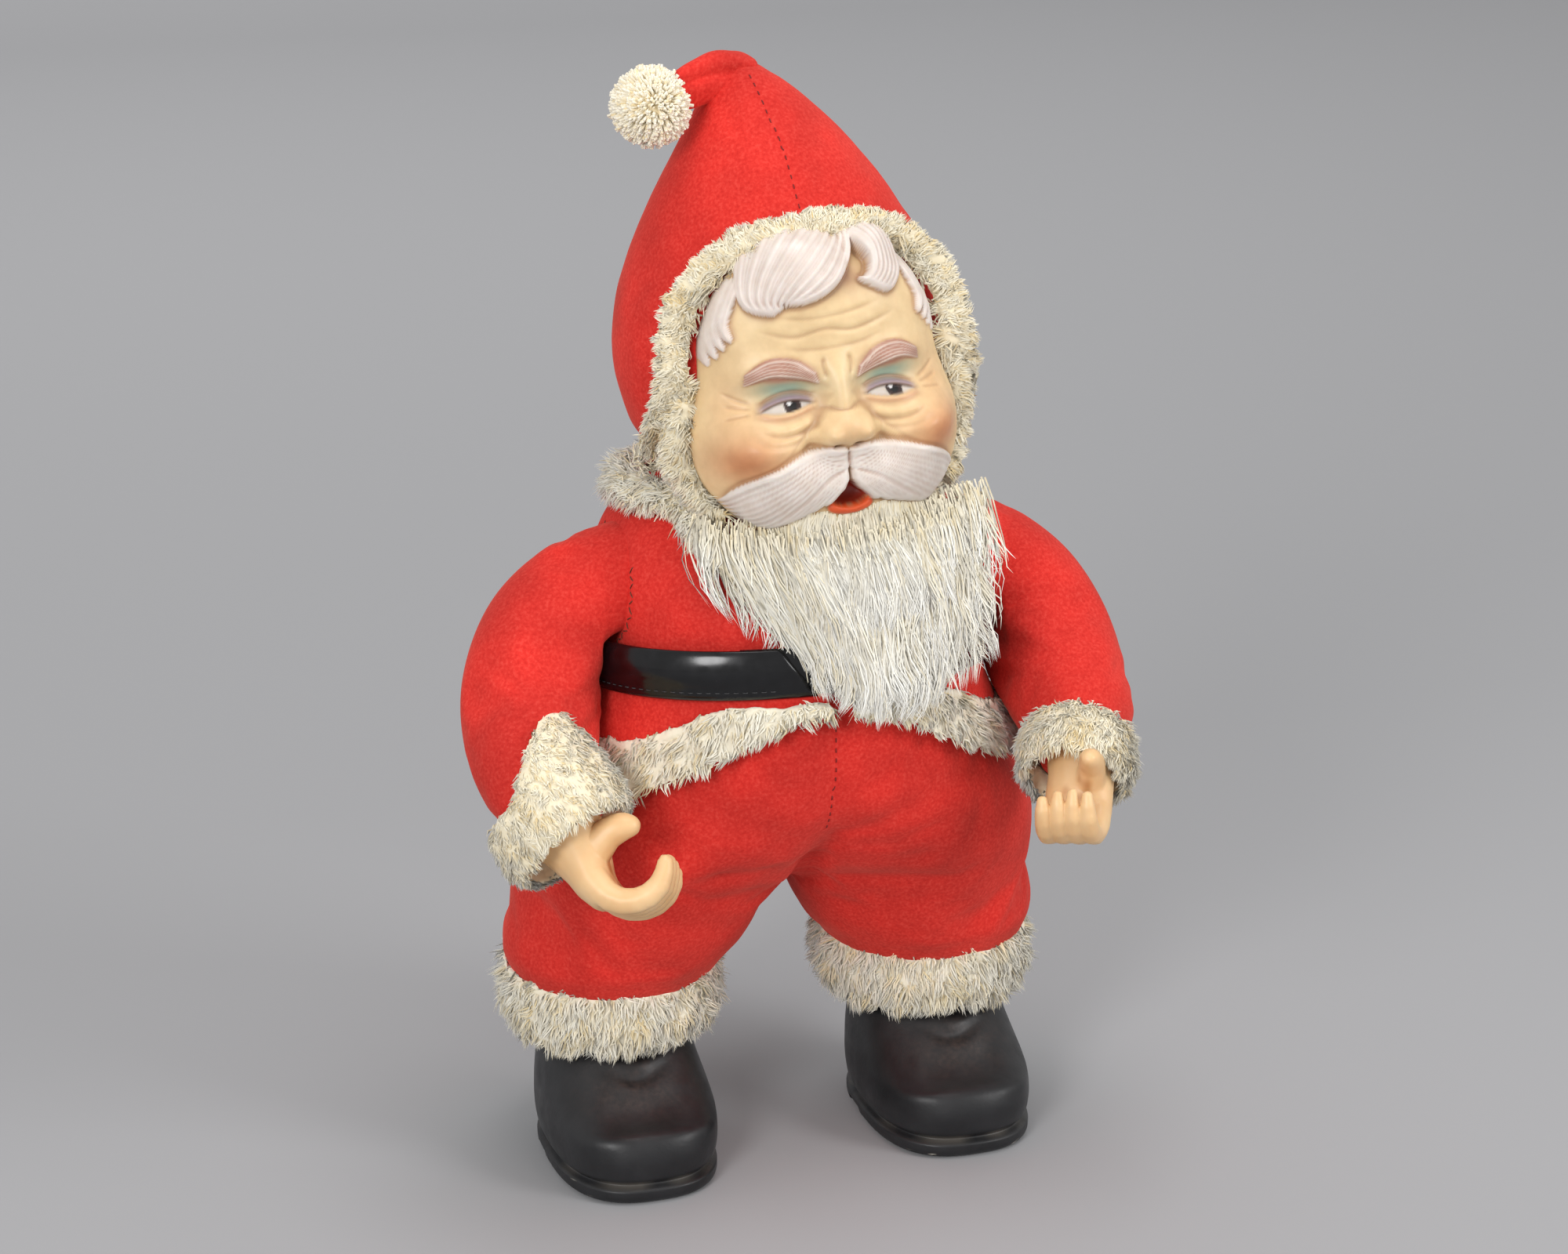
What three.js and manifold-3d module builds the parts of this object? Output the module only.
// A standing stuffed santa doll with a moulded rubber face, rubber hands and rubber boots.
// Millimetres, +Z up. The doll faces -Y, its left side is +X, and it stands on z = 0.
import * as THREE from 'three';
import { mergeVertices } from 'three/addons/utils/BufferGeometryUtils.js';
import Module from 'manifold-3d';

const wasm = await Module();
wasm.setup();

// Walls and clearances
const cloth = 2.2; // red napped cloth with its backing
const rubber = 2.6; // moulded rubber wall
const gap = 0.4; // between pieces that are sewn, tied or laid against each other
const beyond = 2; // how far a cutting tool reaches past what it cuts
const far = 400; // larger than the doll, for cutting planes

// Boots, one rubber moulding each, measured from the middle of the ankle
const legX = 69;
const ankleY = 23;
const bootToe = 71;
const bootHeel = 27;
const bootHalfWidth = 35.5;
const bootShaft = 29.5;
const bootHeight = 84;
const toeBoxHeight = 41;
const anklePlace = 54; // height of the moulded wrinkle over the instep
const ankleFold = 2.2; // depth of that wrinkle
const soleThickness = 6.5;
const soleEdge = 2.4; // how far the sole stands out under the upper
const archFront = -20;
const archBack = -3;
const archDepth = 4.4;

// Trousers, in two halves that meet at the middle seam
const waistZ = 222;
const waistHalfWidth = 79;
const waistHalfDepth = 66;
const hipHalfWidth = 111;
const hipHalfDepth = 66;
const hipZ = 142;
const crotchZ = 121;
const legRadius = 42.5;
const hemZ = 73;

// Plush trim
const trouserCuffDepth = 30; // along the leg
const trouserCuffPile = 4; // how far the plush stands out from the leg
const sleeveCuffDepth = 27;
const sleeveCuffPile = 7;
const skirtTrimDepth = 24;
const skirtTrimPile = 7;
const skirtTrimSidePile = 3; // pressed flatter under the arms
const collarPile = 6.5;
const collarOpening = 50; // degrees each side of the middle of the front, under the beard
const collarHalfWidth = 62;
const collarHalfDepth = 45;
const collarZ = 289;
const hoodTrimHalfWidth = 9;
const hoodTrimTopHalfWidth = 7.5;
const hoodTrimPile = 7;
const hoodTrimReach = 0.32; // share of the face's rim that the band follows each way from the top

// Jacket, belt and jacket skirt
const chestHalfWidth = 80.5;
const chestHalfDepth = 66;
const chestZ = 252;
const neckZ = 301;
const neckRadius = 32;
const beltWidth = 20;
const beltThickness = 1.6;
const beltZ = 222; // at the side of the body
const beltRise = 6; // degrees that the belt lifts towards the belly
const beltLap = 16; // degrees that the strap's ends overlap at the front
const skirtThickness = 2;
const skirtHemSide = 173;
const skirtHemFront = 213;
const skirtFrontOpening = 3; // degrees each side of the middle
const skirtFlare = 0.05; // outwards for each millimetre down

// Arms, in the left arm's place, with the shoulder joint's disc square to X
const shoulderY = -2;
const shoulderZ = 253;
const shoulderRadius = 20.5;
const shoulderSeat = 70; // X of the disc where the arm turns on the body
const armClear = 87.6; // the sleeve stays outside this X below its root
const leftArmForward = 8; // degrees that the left arm hangs further forward than the right
const leftArmTuck = 6; // how far the left forearm lies closer to the body
const leftHandTurn = 40; // degrees that the left hand is turned in its sleeve
const wristRadius = 18;
const wristAt = [109, -60, 172];
const handDirection = new THREE.Vector3(-0.4, -0.65, -0.65).normalize();
const armPath = [
  { at: [62, -2, 252], radius: 21, tuck: 0 },
  { at: [84, -2, 247], radius: 24.5, tuck: 0 },
  { at: [100, -5, 232], radius: 27.5, tuck: 0.2 },
  { at: [109, -16, 211], radius: 28, tuck: 0.5 },
  { at: [114, -36, 192], radius: 24.5, tuck: 0.9 },
]; // and on along the hand's direction to the wrist

// Hands
const handSight = new THREE.Vector3(0.37, -0.834, 0.409); // the grip's axis, before it is squared
const wristStub = 17; // length of the rubber wrist inside the sleeve
const gripRadius = 10.5; // of the round space between thumb and fingers
const fingerRadius = 3.9;
const fingerPitch = 5.9;
const thumbRadius = 5;
const palmHalfWidth = 13;
const handOut = 9; // how far the palm hangs out of the sleeve
const tieThickness = 1.8;

// Head, hood and face
const headTilt = -5; // degrees towards the doll's right shoulder
const headBack = -3; // degrees leaning back
const headHalfWidth = 68.5;
const headHalfDepth = 64;
const headZ = 348;
const peakZ = 456;
const faceZ = 337;
const faceHalfWidth = 54;
const faceTop = 55; // height of the mask above faceZ
const faceBottom = 60;
const faceFront = 27; // how far the middle of the mask stands before its rim
const faceRim = 40; // how far the rim lies before the middle of the head
const faceX = 4; // the mask and hood sit a little to the left over the neck
const chinForward = 17; // how far the lower rim lies before the rim at the cheeks

// Beard, hat tip and bobble
const beardHalfWidth = 61;
const beardTopZ = 280;
const beardEndZ = 219;
const beardThickness = 11;
const beardBack = 76.5; // how far its back lies before the middle of the body
const tipLength = 27;
const tipRadius = 11;
const bobbleRadius = 15.5;

const degrees = THREE.MathUtils.degToRad;

// A closed solid from a geometry, and back, for cutting and joining
function solidOf(geometry) {
  const bare = geometry.clone();
  bare.deleteAttribute('normal');
  bare.deleteAttribute('uv');
  const merged = mergeVertices(bare, 1e-4);
  const vertProperties = merged.attributes.position.array;
  const triVerts = new Uint32Array(merged.index.array);
  return new wasm.Manifold(new wasm.Mesh({ numProp: 3, vertProperties, triVerts }));
}

function geometryOf(solid) {
  const mesh = solid.getMesh();
  const geometry = new THREE.BufferGeometry();
  geometry.setAttribute('position', new THREE.BufferAttribute(mesh.vertProperties, 3));
  geometry.setIndex(new THREE.BufferAttribute(mesh.triVerts, 1));
  return geometry;
}

function signedVolume(points, faces) {
  let sum = 0;
  for (let i = 0; i < faces.length; i += 3) {
    const [a, b, c] = [points[faces[i]], points[faces[i + 1]], points[faces[i + 2]]];
    sum += a.dot(b.clone().cross(c)) / 6;
  }
  return sum;
}

// Skins a closed surface over rings of points. Rings that loop come back to the first one,
// and others are closed by a flat fan at each end.
function skin(rings, loops = false) {
  const count = rings[0].length;
  const points = rings.flat();
  const faces = [];
  const strips = loops ? rings.length : rings.length - 1;
  for (let i = 0; i < strips; i += 1) {
    const next = (i + 1) % rings.length;
    for (let j = 0; j < count; j += 1) {
      const k = (j + 1) % count;
      const [a, b, c, d] = [i * count + j, i * count + k, next * count + j, next * count + k];
      faces.push(a, b, d, a, d, c);
    }
  }
  if (!loops) {
    for (const end of [0, rings.length - 1]) {
      const middle = points.length;
      const ring = rings[end];
      points.push(ring.reduce((sum, p) => sum.add(p), new THREE.Vector3()).divideScalar(count));
      for (let j = 0; j < count; j += 1) {
        const [a, b] = [end * count + j, end * count + ((j + 1) % count)];
        if (end === 0) faces.push(middle, b, a);
        else faces.push(middle, a, b);
      }
    }
  }
  if (signedVolume(points, faces) < 0) faces.reverse();
  const geometry = new THREE.BufferGeometry().setFromPoints(points);
  geometry.setIndex(faces);
  return geometry;
}

function mirrored(geometry) {
  const copy = geometry.clone().applyMatrix4(new THREE.Matrix4().makeScale(-1, 1, 1));
  copy.setIndex(Array.from(copy.index.array).reverse());
  return copy;
}

// Values of a table of stations at any height, on a smooth curve through them
function smoothTable(stations) {
  const keys = Object.keys(stations[0]).filter((key) => key !== 'z');
  return (z) => {
    let i = 0;
    while (i < stations.length - 2 && z > stations[i + 1].z) i += 1;
    const [low, high] = [stations[i], stations[i + 1]];
    const [before, after] = [stations[Math.max(i - 1, 0)], stations[Math.min(i + 2, stations.length - 1)]];
    const span = high.z - low.z;
    const t = (z - low.z) / span;
    const value = {};
    for (const key of keys) {
      const startSlope = ((high[key] - before[key]) / (high.z - before.z)) * span;
      const endSlope = ((after[key] - low[key]) / (after.z - low.z)) * span;
      value[key] =
        low[key] * (1 + 2 * t) * (1 - t) ** 2 +
        startSlope * t * (1 - t) ** 2 +
        high[key] * t * t * (3 - 2 * t) +
        endSlope * t * t * (t - 1);
    }
    return value;
  };
}

const power = (value, n) => Math.sign(value) * Math.abs(value) ** (2 / n);

function around(count, place) {
  return Array.from({ length: count }, (_, i) => place((2 * Math.PI * i) / count));
}

// A level ring, an ellipse at squareness 2 and boxier above it
function levelRing(count, z, { cx, cy, rx, ry }, grow = 0, squareness = 2) {
  return around(count, (angle) => {
    const x = cx + (rx + grow) * power(Math.cos(angle), squareness);
    const y = cy + (ry + grow) * power(Math.sin(angle), squareness);
    return new THREE.Vector3(x, y, z);
  });
}

function box(low, high) {
  const size = high.map((value, i) => value - low[i]);
  const middle = high.map((value, i) => (value + low[i]) / 2);
  return solidOf(new THREE.BoxGeometry(...size).translate(...middle));
}

// A round bar along X from one place to another, about the shoulder's axis
function shoulderBar(radius, fromX, toX, sides = 28) {
  const bar = new THREE.CylinderGeometry(radius, radius, toX - fromX, sides);
  bar.rotateZ(-Math.PI / 2);
  return solidOf(bar.translate((fromX + toX) / 2, shoulderY, shoulderZ));
}

// Rubber boots

const weltHalf = bootHalfWidth - 1.5;
const weltZ = soleThickness + 1.4;
const ankleFront = bootShaft + 4.5 - ankleFold;

const bootRows = [
  { z: 0, toe: bootToe - 3.5, heel: bootHeel - 2.5, half: bootHalfWidth - 4.5, middle: -22 },
  { z: 2.6, toe: bootToe, heel: bootHeel, half: weltHalf, middle: -22 },
  { z: soleThickness, toe: bootToe, heel: bootHeel, half: weltHalf, middle: -22 },
  { z: weltZ, toe: bootToe - soleEdge, heel: bootHeel - soleEdge, half: weltHalf - soleEdge, middle: -22 },
  { z: 12, toe: bootToe - 0.5, heel: bootHeel - 0.5, half: bootHalfWidth - 1, middle: -22 },
  { z: 25, toe: bootToe, heel: bootHeel + 1.5, half: bootHalfWidth, middle: -20 },
  { z: 34, toe: bootToe - 4, heel: bootHeel + 3.5, half: bootHalfWidth, middle: -17 },
  { z: toeBoxHeight, toe: bootToe - 19, heel: bootHeel + 5, half: bootHalfWidth - 0.5, middle: -11 },
  { z: 47, toe: bootToe - 30, heel: bootHeel + 5, half: bootHalfWidth - 0.5, middle: -5 },
  { z: anklePlace, toe: ankleFront, heel: bootHeel + 4.5, half: bootHalfWidth - 1, middle: -2 },
  { z: 61, toe: bootShaft + 2.2, heel: bootShaft + 0.6, half: bootShaft + 1.2, middle: -1 },
  { z: 70, toe: bootShaft, heel: bootShaft, half: bootShaft, middle: 0 },
  { z: bootHeight, toe: bootShaft, heel: bootShaft, half: bootShaft, middle: 0 },
];

function bootRing(count, row, inset = 0) {
  const squareness = THREE.MathUtils.lerp(2.7, 2, Math.min(row.z / bootHeight, 1));
  return around(count, (angle) => {
    const along = power(Math.sin(angle), squareness);
    const reach = along < 0 ? row.toe + row.middle - inset : row.heel - row.middle - inset;
    const x = (row.half - inset) * power(Math.cos(angle), squareness);
    return new THREE.Vector3(x, row.middle + reach * along, row.z);
  });
}

function bootShell() {
  const outside = bootRows.map((row) => bootRing(20, row));
  const hollowRows = bootRows.filter((row) => row.z > soleThickness + rubber && row.z !== 47);
  const inside = hollowRows.reverse().map((row) => bootRing(20, row, rubber));
  const arch = new THREE.Shape();
  arch.moveTo(archFront, -beyond);
  arch.lineTo(archBack, -beyond);
  arch.lineTo(archBack, archDepth);
  arch.lineTo(archFront + archDepth, archDepth);
  arch.quadraticCurveTo(archFront + 1, archDepth, archFront, 0);
  const span = 2 * (bootHalfWidth + beyond);
  const tool = new THREE.ExtrudeGeometry(arch, { depth: span, bevelEnabled: false, curveSegments: 3 });
  tool.rotateX(Math.PI / 2).rotateZ(Math.PI / 2).translate(-span / 2, 0, 0);
  return geometryOf(solidOf(skin([...outside, ...inside])).subtract(solidOf(tool)));
}

function bootFilling() {
  const rows = bootRows.filter((row) => row.z > soleThickness + rubber && row.z !== 47);
  rows[0] = { ...rows[0], z: rows[0].z + gap };
  rows[rows.length - 1] = { ...rows[rows.length - 1], z: bootHeight - gap };
  return skin(rows.map((row) => bootRing(10, row, rubber + gap)));
}

// Trousers

const hemRadius = bootShaft + gap + cloth;
const trouserAt = smoothTable([
  { z: hemZ, cx: legX, cy: ankleY, rx: hemRadius, ry: hemRadius },
  { z: hemZ + 4, cx: legX, cy: ankleY, rx: legRadius - 4, ry: legRadius - 4 },
  { z: bootHeight, cx: legX, cy: ankleY, rx: legRadius, ry: legRadius },
  { z: 99, cx: legX - 4, cy: ankleY - 2, rx: legRadius + 5.5, ry: legRadius + 5 },
  { z: 110, cx: 59.5, cy: ankleY - 5, rx: 50, ry: hipHalfDepth - 13 },
  { z: crotchZ, cx: 54, cy: ankleY - 8, rx: hipHalfWidth - 54.5, ry: hipHalfDepth - 8 },
  { z: 130, cx: 46, cy: ankleY - 10, rx: hipHalfWidth - 46, ry: hipHalfDepth - 4 },
  { z: hipZ, cx: 36, cy: ankleY - 13, rx: hipHalfWidth - 37, ry: hipHalfDepth },
  { z: 165, cx: 19, cy: 3, rx: hipHalfWidth - 31, ry: hipHalfDepth + 2 },
  { z: 187, cx: 5, cy: 1, rx: waistHalfWidth + 2, ry: waistHalfDepth + 2.5 },
  { z: 205, cx: 0, cy: 0, rx: waistHalfWidth + 0.5, ry: waistHalfDepth + 1 },
  { z: waistZ, cx: 0, cy: 0, rx: waistHalfWidth, ry: waistHalfDepth },
]);
const trouserLevels = [hemZ, hemZ + 4, bootHeight, 99, 110, crotchZ, 130, hipZ, 165, 187, 205, waistZ];

function trouserHalf(count, levels, grow, nearest) {
  const rings = levels.map((z) => {
    const inside = THREE.MathUtils.clamp(z, hemZ, waistZ);
    const ring = levelRing(count, z, trouserAt(inside), grow);
    return ring.map((p) => p.setX(Math.max(p.x, nearest)));
  });
  return skin(rings);
}

function trouserCloth() {
  const outside = solidOf(trouserHalf(20, trouserLevels, 0, gap / 2));
  const levels = [hemZ - beyond, ...trouserLevels.slice(1, -1), waistZ + beyond];
  return geometryOf(outside.subtract(solidOf(trouserHalf(20, levels, -cloth, -beyond))));
}

function legFilling() {
  const levels = [bootHeight + gap, ...trouserLevels.slice(3, -1), waistZ];
  return trouserHalf(10, levels, -cloth - gap, gap / 2);
}

// A plush ring round the trouser hem, lapping over the top of the boot
function trouserCuff() {
  const top = hemZ + 10;
  const low = top - trouserCuffDepth;
  const inner = bootShaft + 3.8 + gap;
  const outer = legRadius + trouserCuffPile;
  const profile = [
    [inner, low + 5],
    [inner + 5, low],
    [outer - 4, low + 3],
    [outer, low + trouserCuffDepth * 0.42],
    [outer - 1, top - 3],
    [legRadius + 1.2, top + 1],
    [legRadius + gap, top - 2],
    [legRadius - 4 + gap, hemZ + 3.2],
    [hemRadius + gap, hemZ - gap],
    [inner, hemZ - 1.5],
  ];
  const points = [...profile, profile[0]].map(([r, z]) => new THREE.Vector2(r, z));
  const ring = new THREE.LatheGeometry(points, 24).rotateX(Math.PI / 2);
  return geometryOf(solidOf(upright(ring)).subtract(solidOf(localLeg(gap))));
}

// The lower leg and its hem about the ankle, for cutting the cuff that lies on it
function localLeg(grow) {
  const levels = [hemZ - grow, hemZ + 4, bootHeight, 99];
  const rings = levels.map((z) => {
    const ring = levelRing(24, z, trouserAt(Math.max(z, hemZ)), grow);
    return ring.map((p) => p.sub(new THREE.Vector3(legX, ankleY, 0)));
  });
  return skin(rings);
}

// A lathe stands on Y: after rotateX its axis is Z, and its faces must point out
function upright(geometry) {
  const bare = new THREE.BufferGeometry();
  bare.setAttribute('position', geometry.attributes.position);
  bare.setIndex(geometry.index);
  const merged = mergeVertices(bare, 1e-4);
  const points = [];
  for (let i = 0; i < merged.attributes.position.count; i += 1) {
    points.push(new THREE.Vector3().fromBufferAttribute(merged.attributes.position, i));
  }
  const faces = Array.from(merged.index.array);
  if (signedVolume(points, faces) < 0) faces.reverse();
  merged.setIndex(faces);
  return merged;
}

// Jacket

const jacketSquareness = 2.25;
const jacketAt = smoothTable([
  { z: waistZ + gap, cx: 0, cy: 0, rx: waistHalfWidth, ry: waistHalfDepth },
  { z: 237, cx: 0, cy: 0, rx: chestHalfWidth - 0.6, ry: chestHalfDepth + 0.5 },
  { z: chestZ, cx: 0, cy: 0, rx: chestHalfWidth, ry: chestHalfDepth },
  { z: 266, cx: 0, cy: 1, rx: chestHalfWidth - 2, ry: chestHalfDepth - 7 },
  { z: 279, cx: 0, cy: 4, rx: chestHalfWidth - 9, ry: chestHalfDepth - 18 },
  { z: 289, cx: 0, cy: 5, rx: chestHalfWidth - 20, ry: chestHalfDepth - 25 },
  { z: 297, cx: 0, cy: 4, rx: neckRadius + 11, ry: neckRadius + 4 },
  { z: neckZ, cx: 0, cy: 3, rx: neckRadius, ry: neckRadius - 1 },
]);
const jacketLevels = [waistZ + gap, 237, chestZ, 266, 279, 289, 297, neckZ];

function jacketRing(count, z, grow) {
  return levelRing(count, z, jacketAt(z), grow, jacketSquareness);
}

function armholes(solid, grow) {
  const hole = shoulderBar(shoulderRadius + grow, shoulderSeat, far);
  const other = shoulderBar(shoulderRadius + grow, -far, -shoulderSeat);
  return solid.subtract(hole).subtract(other);
}

function jacketCloth() {
  const outside = jacketLevels.map((z) => jacketRing(24, z, 0));
  const inside = jacketLevels.map((z) => jacketRing(24, z, -cloth)).reverse();
  return geometryOf(armholes(solidOf(skin([...outside, ...inside], true)), gap));
}

function torsoFilling() {
  const rings = jacketLevels.map((z) => jacketRing(12, z, -cloth - gap));
  return geometryOf(armholes(solidOf(skin(rings)), gap));
}

// Plush collar on the shoulders, under the hood
function collar() {
  const steps = 20;
  const first = degrees(collarOpening - 90);
  const sweep = degrees(360 - 2 * collarOpening);
  const sections = Array.from({ length: steps + 1 }, (_, i) => {
    const angle = first + (sweep * i) / steps;
    const [c, s] = [Math.cos(angle), Math.sin(angle)];
    const middle = new THREE.Vector3(collarHalfWidth * c, 6 + collarHalfDepth * s, collarZ);
    return around(7, (turn) => {
      const out = 1.5 * collarPile * Math.cos(turn);
      return middle.clone().add(new THREE.Vector3(out * c, out * s, collarPile * Math.sin(turn)));
    });
  });
  const body = jacketLevels.map((z) => jacketRing(24, z, gap));
  const under = solidOf(skin([...body, jacketRing(24, neckZ, gap).map((p) => p.setZ(neckZ + far / 10))]));
  return solidOf(skin(sections)).subtract(under);
}

// Belt: one strap round the waist whose ends lap at the front
function belt() {
  const turns = 48;
  const whole = 2 * Math.PI + degrees(beltLap);
  const start = -Math.PI / 2 - degrees(25);
  const rise = Math.tan(degrees(beltRise));
  const sections = [];
  for (let i = 0; i <= turns; i += 1) {
    const angle = start + (whole * i) / turns;
    const step = ((beltThickness + gap) * i * 2 * Math.PI) / (turns * whole);
    const out = gap + 0.3 + step;
    const at = (extra) => {
      const x = (chestHalfWidth + out + extra) * power(Math.cos(angle), jacketSquareness);
      const y = (chestHalfDepth + 0.5 + out + extra) * power(Math.sin(angle), jacketSquareness);
      return [x, y, beltZ - y * rise];
    };
    const half = beltWidth / 2;
    const corner = (extra, up) => new THREE.Vector3(...at(extra)).add(new THREE.Vector3(0, 0, up));
    sections.push([
      corner(0, -half),
      corner(beltThickness, -half),
      corner(beltThickness * 1.4, 0),
      corner(beltThickness, half),
      corner(0, half),
    ]);
  }
  return skin(sections);
}

// Jacket skirt and its trim, both laid out by the angle round the body

// How far the trousers reach from the body's middle line at an angle and height
function trouserReach(angle, z) {
  const { cx, cy, rx, ry } = trouserAt(Math.min(z, waistZ));
  const [dx, dy] = [Math.abs(Math.cos(angle)), Math.sin(angle)];
  const a = (dx / rx) ** 2 + (dy / ry) ** 2;
  const b = (-cx * dx) / rx ** 2 + (-cy * dy) / ry ** 2;
  const c = (cx / rx) ** 2 + (cy / ry) ** 2 - 1;
  return (-b + Math.sqrt(b * b - a * c)) / a;
}

function skirtTop(angle) {
  const depth = waistHalfDepth * Math.sin(angle);
  const outer = depth + beltThickness * Math.sign(depth);
  return beltZ - beltWidth / 2 - gap - outer * Math.tan(degrees(beltRise));
}

// The hem is cut away towards the middle of the front
function skirtHem(angle) {
  const fromBack = THREE.MathUtils.euclideanModulo(angle + Math.PI * 1.5, 2 * Math.PI);
  const away = Math.abs(fromBack - Math.PI);
  const share = THREE.MathUtils.smoothstep(away, 0, degrees(78));
  return THREE.MathUtils.lerp(skirtHemFront, skirtHemSide, share);
}

function skirtReach(angle, z) {
  return trouserReach(angle, z) + 2 * gap + skirtFlare * (skirtTop(angle) - z);
}

function sideShare(angle) {
  return THREE.MathUtils.smoothstep(Math.abs(Math.cos(angle)), 0.35, 0.8);
}

function skirtAngles(count) {
  const first = -Math.PI / 2 + degrees(skirtFrontOpening);
  const sweep = 2 * Math.PI - 2 * degrees(skirtFrontOpening);
  return Array.from({ length: count + 1 }, (_, i) => first + (sweep * i) / count);
}

function polar(reach, angle, z) {
  return new THREE.Vector3(reach * Math.cos(angle), reach * Math.sin(angle), z);
}

function jacketSkirt() {
  const sections = skirtAngles(44).map((angle) => {
    const levels = [0, 0.5, 1].map((t) => THREE.MathUtils.lerp(skirtTop(angle), skirtHem(angle), t));
    const inside = levels.map((z) => polar(skirtReach(angle, z), angle, z));
    const outside = levels.map((z) => polar(skirtReach(angle, z) + skirtThickness, angle, z));
    return [...inside, ...outside.reverse()];
  });
  return skin(sections);
}

function skirtTrim() {
  const sections = skirtAngles(44).map((angle) => {
    const low = skirtHem(angle) - 1.5;
    const high = Math.min(low + skirtTrimDepth, skirtTop(angle) - 1);
    const pile = THREE.MathUtils.lerp(skirtTrimPile, skirtTrimSidePile, sideShare(angle));
    const at = (t, share) => {
      const z = THREE.MathUtils.lerp(low, high, t);
      const lie = skirtReach(angle, z) + skirtThickness + 2.5 * gap;
      return polar(lie + pile * share, angle, z);
    };
    return [at(0, 0), at(0, 0.6), at(0.3, 1), at(0.75, 0.9), at(1, 0.35), at(1, 0), at(0.5, 0)];
  });
  return skin(sections);
}

// Arms

// One arm's middle line, its radius along that line, and the frame of the hand at its wrist
function armShape(tuck, turn) {
  const wrist = new THREE.Vector3(wristAt[0] - tuck, wristAt[1], wristAt[2]);
  const upper = armPath.map(({ at, tuck: share }) => new THREE.Vector3(at[0] - tuck * share, at[1], at[2]));
  const lower = [10, 0].map((back) => wrist.clone().addScaledVector(handDirection, -back));
  const radii = [...armPath.map(({ radius }) => radius), wristRadius + 2, wristRadius];
  const curve = new THREE.CatmullRomCurve3([...upper, ...lower]);
  const radiusAt = smoothTable(radii.map((radius, i) => ({ z: i / (radii.length - 1), radius })));
  const across = new THREE.Vector3().crossVectors(handDirection, handSight).normalize();
  const axis = new THREE.Vector3().crossVectors(across, handDirection);
  const frame = new THREE.Matrix4().makeBasis(across, axis, handDirection.clone().negate());
  frame.setPosition(wrist);
  return { curve, radiusAt, frame: frame.multiply(new THREE.Matrix4().makeRotationZ(degrees(turn))) };
}

function armLoft({ curve, radiusAt }, count, grow, past = 0) {
  const steps = 11;
  const frames = curve.computeFrenetFrames(steps);
  const rings = [];
  for (let i = 0; i <= steps; i += 1) {
    const t = curve.getUtoTmapping(i / steps);
    const middle = curve.getPoint(t);
    const radius = radiusAt(t).radius + grow;
    rings.push(around(count, (angle) => middle.clone()
      .addScaledVector(frames.normals[i], radius * Math.cos(angle))
      .addScaledVector(frames.binormals[i], radius * Math.sin(angle))));
  }
  if (past > 0) rings.push(rings[steps].map((p) => p.clone().addScaledVector(handDirection, past)));
  return solidOf(skin(rings));
}

function outsideOf(solid, x) {
  return solid.intersect(box([x, -far, -far], [far, far, far]));
}

function sleeveCloth(arm) {
  const root = armClear + 6;
  const sleeve = outsideOf(armLoft(arm, 12, 0), armClear)
    .add(shoulderBar(shoulderRadius, shoulderSeat + gap, root));
  const hollow = outsideOf(armLoft(arm, 12, -cloth, beyond), armClear + cloth)
    .add(shoulderBar(shoulderRadius - cloth, shoulderSeat - beyond, root));
  return geometryOf(sleeve.subtract(hollow));
}

function armFilling(arm) {
  const filling = outsideOf(armLoft(arm, 6, -cloth - 3 * gap), armClear + cloth + gap)
    .add(shoulderBar(shoulderRadius - cloth - gap, shoulderSeat + gap, armClear + 6, 14));
  const stub = new THREE.CylinderGeometry(wristRadius * 2, wristRadius * 2, far, 16).rotateX(Math.PI / 2);
  stub.translate(0, 0, wristStub + gap - far / 2).applyMatrix4(arm.frame);
  return geometryOf(filling.subtract(solidOf(stub)));
}

// Plush cuff round the end of the sleeve, drawn as a turned ring about the wrist
function sleeveCuff(arm) {
  const inner = wristRadius + tieThickness + 3 * gap;
  const outer = inner + sleeveCuffPile;
  const [top, low] = [sleeveCuffDepth * 0.62, -sleeveCuffDepth * 0.38];
  const profile = [
    [wristRadius - 2, top - 2],
    [inner + 2, top],
    [outer, top - 6],
    [outer + 1, low + 8],
    [outer - 2, low + 1],
    [inner + 1, low],
    [inner, low + 4],
    [inner, 4],
  ];
  const points = [...profile, profile[0]].map(([r, along]) => new THREE.Vector2(r, along));
  const ring = upright(new THREE.LatheGeometry(points, 16).rotateX(Math.PI / 2).applyMatrix4(arm.frame));
  return geometryOf(solidOf(ring).subtract(armLoft(arm, 12, 3 * gap)));
}

function wristTie(arm) {
  const middle = wristRadius + 2 * gap + tieThickness / 2;
  const tie = new THREE.TorusGeometry(middle, tieThickness / 2, 5, 14).translate(0, 0, 1.2);
  return geometryOf(solidOf(tie.applyMatrix4(arm.frame)));
}

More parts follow.
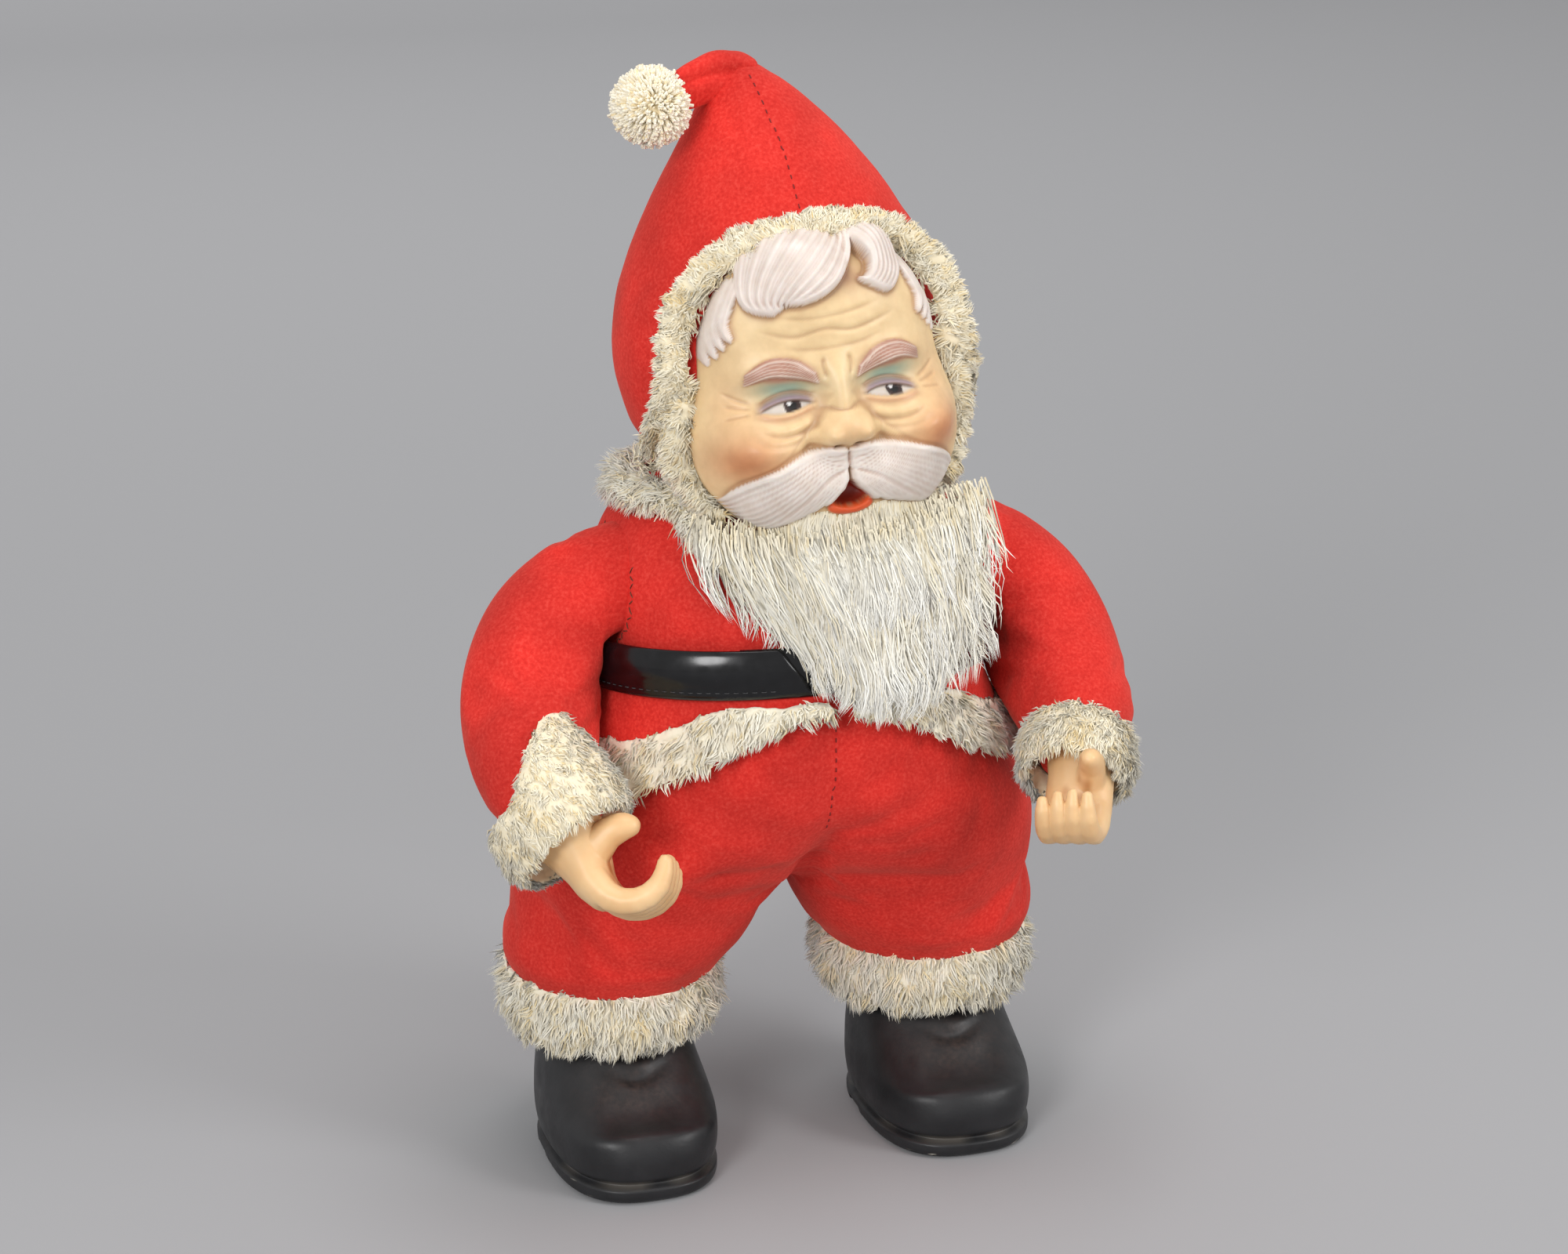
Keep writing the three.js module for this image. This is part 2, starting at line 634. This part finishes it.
// A tapering round limb along a smooth path
function limb(path, radii, sides, steps) {
  const curve = new THREE.CatmullRomCurve3(path.map((p) => new THREE.Vector3(...p)));
  const radiusAt = smoothTable(radii.map((radius, i) => ({ z: i / (radii.length - 1), radius })));
  const frames = curve.computeFrenetFrames(steps);
  const rings = [];
  for (let i = 0; i <= steps; i += 1) {
    const t = curve.getUtoTmapping(i / steps);
    const radius = radiusAt(t).radius;
    rings.push(around(sides, (angle) => curve.getPoint(t)
      .addScaledVector(frames.normals[i], radius * Math.cos(angle))
      .addScaledVector(frames.binormals[i], radius * Math.sin(angle))));
  }
  return solidOf(skin(rings));
}

// A hand curled round a grip, in its own frame: the wrist on +Z, the grip opening to +X
function hand(arm) {
  const stub = wristRadius - cloth - 3 * gap;
  const [gx, gz] = [gripRadius + 3, -gripRadius - 9.5 - handOut];
  const palm = skin([
    [wristStub, 0, stub, stub],
    [2, 0, stub, stub],
    [-handOut, 0.5, stub - 3, stub - 2],
    [-handOut - 9, -0.5, 8.5, palmHalfWidth],
    [-handOut - 16, -2, 6.6, palmHalfWidth],
    [-handOut - 24, -1.6, 4.6, palmHalfWidth],
  ].map(([z, cx, rx, ry]) => levelRing(16, z, { cx, cy: 0, rx, ry })));
  let whole = solidOf(palm);
  const reach = gripRadius + fingerRadius;
  for (let i = 0; i < 4; i += 1) {
    const y = (i - 1.5) * fingerPitch;
    const short = i === 0 ? 0.84 : 1 - 0.05 * Math.abs(i - 2);
    const turn = (angle) => [gx + reach * Math.cos(degrees(angle)), y, gz + reach * Math.sin(degrees(angle))];
    const path = [turn(160), turn(195), turn(228), turn(262), turn(296), turn(262 + 74 * short)];
    const radii = [0, 0.5, 0, -0.3, -0.9, -2.3].map((fuller) => fingerRadius + fuller);
    whole = whole.add(limb(path, radii, 6, 8));
  }
  const over = gripRadius + thumbRadius;
  const arc = (angle, y) => [gx + over * Math.cos(degrees(angle)), y, gz + over * Math.sin(degrees(angle))];
  const thumb = [[-1, 2, -8 - handOut], arc(118, 5), arc(92, 6.5), arc(66, 7), arc(46, 7)];
  const thumbRadii = [thumbRadius + 1, thumbRadius + 0.6, thumbRadius, thumbRadius - 0.6, 2];
  return geometryOf(whole.add(limb(thumb, thumbRadii, 7, 7))).applyMatrix4(arm.frame);
}

// Head

const neckPivot = new THREE.Vector3(0, 3, neckZ);
const headLean = new THREE.Matrix4().makeTranslation(neckPivot)
  .multiply(new THREE.Matrix4().makeRotationY(degrees(headTilt)))
  .multiply(new THREE.Matrix4().makeRotationX(degrees(headBack)))
  .multiply(new THREE.Matrix4().makeTranslation(neckPivot.clone().negate()));

const hoodAt = smoothTable([
  { z: 290, cx: 0, cy: 2, rx: 37, ry: 34 },
  { z: 298, cx: 0, cy: 2, rx: headHalfWidth - 19.5, ry: headHalfDepth - 18 },
  { z: 307, cx: faceX / 2, cy: 2, rx: headHalfWidth - 10, ry: headHalfDepth - 9 },
  { z: 319, cx: faceX, cy: 1, rx: headHalfWidth - 4, ry: headHalfDepth - 3.5 },
  { z: 333, cx: faceX, cy: 1, rx: headHalfWidth - 0.8, ry: headHalfDepth - 0.7 },
  { z: headZ, cx: faceX, cy: 1, rx: headHalfWidth, ry: headHalfDepth },
  { z: 368, cx: faceX, cy: 2, rx: headHalfWidth - 4, ry: headHalfDepth - 3 },
  { z: 388, cx: faceX, cy: 3, rx: headHalfWidth - 13, ry: headHalfDepth - 11 },
  { z: 406, cx: faceX, cy: 4, rx: 45, ry: 44 },
  { z: 424, cx: faceX, cy: 6, rx: 32.5, ry: 33 },
  { z: 440, cx: faceX / 2, cy: 7, rx: 20.5, ry: 22 },
  { z: peakZ - 6, cx: 0, cy: 8, rx: 11.5, ry: 14 },
  { z: peakZ, cx: 0, cy: 8, rx: 4, ry: 6 },
]);
const hoodLevels = [290, 298, 307, 319, 333, headZ, 368, 388, 406, 424, 440, peakZ - 6, peakZ];

function hoodForm(count, grow, levels = hoodLevels) {
  const rings = levels.map((z) => {
    const station = hoodAt(z);
    const most = Math.max(grow, -Math.min(station.rx, station.ry) + 0.8);
    return levelRing(count, z + (z === peakZ ? grow : 0), station, most);
  });
  return solidOf(skin(rings));
}

// The rim of the rubber mask, seen from the front, and its surface behind that outline
const faceRimCurve = new THREE.CatmullRomCurve3([
  [0, faceTop],
  [0.55 * faceHalfWidth, faceTop - 7],
  [0.83 * faceHalfWidth, 27],
  [0.9 * faceHalfWidth, 4],
  [faceHalfWidth, -19],
  [0.9 * faceHalfWidth, -39],
  [0.52 * faceHalfWidth, 3 - faceBottom],
  [0, -faceBottom],
  [-0.52 * faceHalfWidth, 3 - faceBottom],
  [-0.9 * faceHalfWidth, -39],
  [-faceHalfWidth, -19],
  [-0.9 * faceHalfWidth, 4],
  [-0.83 * faceHalfWidth, 27],
  [-0.55 * faceHalfWidth, faceTop - 7],
].map(([x, z]) => new THREE.Vector3(x, 0, z)), true);

function faceBase(share, up) {
  const rim = faceRim + (up > 0 ? 6 * (up / faceTop) ** 2 : chinForward * (up / faceBottom) ** 2);
  return -(rim + faceFront * Math.sqrt(Math.max(1 - share * share, 0)));
}

const bump = (x, z, atX, atZ, wide, tall) => Math.exp(-(((x - atX) / wide) ** 2) - ((z - atZ) / tall) ** 2);

// Modelling of a calm old man's face on the mask: forelock, brows, nose, cheeks, moustache and mouth
function faceRelief(x, z) {
  const side = Math.abs(x);
  const curl = 9 * bump(x, z, -12, 46, 15, 9) + 8 * bump(x, z, 12, 42, 9, 10);
  const brow = 3.5 * bump(side, z, 22, 10, 13, 5);
  const socket = -3.5 * bump(side, z, 21, 1, 10, 5);
  const nose = 13 * bump(x, z, 0, -13, 9, 8) + 5 * bump(x, z, 0, 2, 6, 11);
  const cheek = 9 * bump(side, z, 33, -19, 14, 12);
  const moustache = 9 * bump(side, z, 16, -31 + 0.1 * side, 17, 6.5);
  const mouth = -5 * bump(x, z, 0, -42, 9, 5) + 3.5 * bump(x, z, 0, -48, 9, 3.5);
  return curl + brow + socket + nose + cheek + moustache + mouth;
}

const faceRimPoints = Array.from({ length: 40 }, (_, i) => faceRimCurve.getPoint(i / 40));

// A ring round the face at a share of the way from its middle to its rim, at a depth given by place
function faceRing(share, depth) {
  return faceRimPoints.map((p) => {
    const [x, up] = [p.x * share, p.z * share];
    return new THREE.Vector3(faceX + x, depth(x, up, p.z), faceZ + up);
  });
}

function maskFront(grow) {
  const wider = 1 + grow / faceHalfWidth;
  const shares = [0.1, 0.2, 0.3, 0.4, 0.5, 0.6, 0.7, 0.8, 0.9, 1];
  return shares.map((share) => faceRing(share * wider, (x, up, rim) => {
    const relief = faceRelief(x / wider, up / wider) * (1 - share ** 6);
    return faceBase(share, rim) - relief - grow;
  }));
}

function maskBack(clear) {
  const depth = (share, rim) => faceBase(share, rim) + rubber + clear;
  return [1, 0.9, 0.7, 0.4].map((share) => faceRing(share, (x, up, rim) => depth(share, rim)));
}

function faceMask() {
  return skin([...maskFront(0), ...maskBack(0)]);
}

// Everything behind the front of the mask, for cutting what lies against it
function maskTool(clear) {
  return solidOf(skin([...maskFront(clear), faceRing(1 + clear / faceHalfWidth, () => 0)]));
}

// Everything before the back of the mask, inside its outline
function faceTool(clear) {
  const wider = 1 + clear / faceHalfWidth;
  const rear = faceRing(wider, (x, up, rim) => faceBase(1, rim) + rubber + clear);
  return solidOf(skin([faceRing(wider, () => -far), rear, ...maskBack(clear)]));
}

function leaned(solid) {
  return solidOf(geometryOf(solid).applyMatrix4(headLean));
}

const belowNeck = (clear) => box([-far, -far, -far], [far, far, neckZ + clear]);

function hoodCloth() {
  const shell = hoodForm(24, 0).subtract(hoodForm(24, -cloth, hoodLevels.slice(0, -1)));
  const open = shell.subtract(faceTool(gap + 0.2));
  return geometryOf(leaned(open).subtract(belowNeck(gap)));
}

function headFilling() {
  const filling = hoodForm(12, -cloth - gap, hoodLevels.slice(0, -2)).subtract(faceTool(gap));
  return geometryOf(leaned(filling).subtract(belowNeck(gap)));
}

// Plush band on the hood round the face, open under the chin
function hoodTrim() {
  const sections = [];
  const steps = 34;
  for (let i = 0; i <= steps; i += 1) {
    const t = THREE.MathUtils.lerp(-hoodTrimReach, hoodTrimReach, i / steps);
    const rim = faceRimCurve.getPoint(THREE.MathUtils.euclideanModulo(t, 1));
    const out = new THREE.Vector3(rim.x, 0, rim.z).normalize();
    const over = THREE.MathUtils.smoothstep(out.z, 0.5, 1);
    const half = THREE.MathUtils.lerp(hoodTrimHalfWidth, hoodTrimTopHalfWidth, over);
    const middle = rim.clone().addScaledVector(out, half * THREE.MathUtils.lerp(0.7, 0.4, over));
    middle.x += faceX;
    middle.z += faceZ;
    const { cx, cy, rx, ry } = hoodAt(middle.z);
    const within = Math.min(Math.abs((middle.x - cx) / rx), 0.97);
    middle.y = cy - ry * Math.sqrt(1 - within ** 2) - 0.35 * hoodTrimPile;
    const lift = new THREE.Vector3(middle.x, middle.y, 0).normalize();
    sections.push(around(8, (angle) => middle.clone()
      .addScaledVector(out, half * Math.cos(angle))
      .addScaledVector(lift, hoodTrimPile * Math.sin(angle))));
  }
  const band = solidOf(skin(sections)).subtract(hoodForm(24, gap)).subtract(maskTool(gap));
  return leaned(band.subtract(faceTool(gap + 0.2)).simplify(gap / 4));
}

// Plush beard that hangs from the lower edge of the mask, before the chest
function beardForm() {
  const [across, down] = [11, 8];
  const rings = [];
  for (let i = 0; i <= down; i += 1) {
    const t = i / down;
    const half = beardHalfWidth * (1 - 0.24 * t ** 2);
    const place = (s, thickness) => {
      const x = s * half;
      const top = beardTopZ + 12 * s * s - x * Math.sin(degrees(headTilt));
      const end = beardEndZ + 12 * s * s;
      const hang = THREE.MathUtils.lerp(-9, 0, Math.min(t * 2.2, 1));
      const y = -(beardBack + hang - 0.005 * x * x) - thickness;
      return new THREE.Vector3(x + 6, y, THREE.MathUtils.lerp(top, end, t));
    };
    const full = beardThickness * (0.55 + 0.45 * Math.sin(Math.PI * Math.min(t + 0.25, 1)));
    const row = Array.from({ length: across }, (_, j) => (2 * j) / (across - 1) - 1);
    const front = row.map((s) => place(s, Math.max(full * (1 - 0.6 * s * s), 2)));
    const back = row.map((s) => place(s, 0)).reverse();
    rings.push([...front, ...back]);
  }
  return solidOf(skin(rings)).subtract(leaned(maskTool(gap)));
}

// The folded end of the hood, and the yarn bobble on it
const tipStart = new THREE.Vector3(-2, 7, peakZ - 6).applyMatrix4(headLean);
const tipPath = [0, 0.35, 0.7, 1].map((t) => tipStart.clone()
  .add(new THREE.Vector3(-tipLength * t, -14 * t, 4.5 * Math.sin(Math.PI * t * 0.75) - 8 * t * t)));
const bobbleAt = tipPath[3].clone().add(new THREE.Vector3(-bobbleRadius * 0.75, -0.5, -4));

function hatTip() {
  const radii = [tipRadius * 0.75, tipRadius, tipRadius * 0.85, tipRadius * 0.6];
  const tip = limb(tipPath.map((p) => p.toArray()), radii, 12, 6);
  return geometryOf(tip.subtract(leaned(hoodForm(24, gap))).subtract(bobble(gap)));
}

function bobble(grow) {
  const ball = new THREE.IcosahedronGeometry(bobbleRadius + grow, 3);
  return solidOf(ball.translate(...bobbleAt.toArray()));
}

// Materials

const finish = (color, roughness) => new THREE.MeshStandardMaterial({ color, roughness, metalness: 0 });
const redCloth = finish(0xc8231d, 0.95);
const plush = finish(0xe4dac0, 1);
const beardPlush = finish(0xece5d0, 0.9);
const faceRubber = finish(0xe3bf8a, 0.55);
const handRubber = finish(0xe5c08c, 0.5);
const bootRubber = finish(0x1c1c1e, 0.5);
const beltVinyl = finish(0x0c0c0e, 0.25);
const filling = finish(0xd8cdb4, 1);
const thread = finish(0x6b3a2a, 0.9);

// Assembly

function piece(parent, name, geometry, material) {
  const mesh = new THREE.Mesh(geometry, material.clone());
  mesh.name = name;
  parent.add(mesh);
  return mesh;
}

const doll = new THREE.Group();

const collarSolid = collar();
const hoodTrimSolid = hoodTrim();
const beardSolid = beardForm();
piece(doll, 'jacket', jacketCloth(), redCloth);
piece(doll, 'torso_stuffing', torsoFilling(), filling);
piece(doll, 'jacket_skirt', jacketSkirt(), redCloth);
piece(doll, 'skirt_trim', skirtTrim(), plush);
piece(doll, 'belt', belt(), beltVinyl);
piece(doll, 'collar_trim', geometryOf(collarSolid), plush);
piece(doll, 'hood', hoodCloth(), redCloth);
piece(doll, 'head_stuffing', headFilling(), filling);
piece(doll, 'face_mask', faceMask().applyMatrix4(headLean), faceRubber);
piece(doll, 'hood_trim', geometryOf(hoodTrimSolid), plush);
piece(doll, 'beard', geometryOf(beardSolid), beardPlush);
piece(doll, 'hat_tip', hatTip(), redCloth);
piece(doll, 'bobble', geometryOf(bobble(0)), plush);

const shoulder = new THREE.Vector3(0, shoulderY, shoulderZ);
for (const [side, flip] of [['left', false], ['right', true]]) {
  const placed = (geometry) => (flip ? mirrored(geometry) : geometry);
  const leg = new THREE.Group();
  leg.position.set(flip ? -legX : legX, ankleY, 0);
  doll.add(leg);
  piece(leg, `${side}_boot`, placed(bootShell()), bootRubber);
  piece(leg, `${side}_boot_stuffing`, placed(bootFilling()), filling);
  piece(leg, `${side}_trouser_cuff`, placed(trouserCuff()), plush);
  piece(doll, `${side}_trouser_half`, placed(trouserCloth()), redCloth);
  piece(doll, `${side}_leg_stuffing`, placed(legFilling()), filling);

  const arm = new THREE.Group();
  arm.position.copy(shoulder);
  arm.rotation.x = degrees(flip ? 0 : -leftArmForward);
  doll.add(arm);
  const shape = armShape(flip ? 0 : leftArmTuck, flip ? 0 : leftHandTurn);
  const fromShoulder = (geometry) => placed(geometry).translate(...shoulder.clone().negate().toArray());
  piece(arm, `${side}_sleeve`, fromShoulder(sleeveCloth(shape)), redCloth);
  piece(arm, `${side}_arm_stuffing`, fromShoulder(armFilling(shape)), filling);
  piece(arm, `${side}_sleeve_cuff`, fromShoulder(sleeveCuff(shape)), plush);
  piece(arm, `${side}_wrist_tie`, fromShoulder(wristTie(shape)), thread);
  piece(arm, `${side}_hand`, fromShoulder(hand(shape)), handRubber);
}

// The doll stands on the floor with its box centred on the origin
doll.updateMatrixWorld(true);
const bounds = new THREE.Box3().setFromObject(doll, true);
const middle = bounds.getCenter(new THREE.Vector3());
doll.position.set(-middle.x, -middle.y, -bounds.min.z);

export default doll;
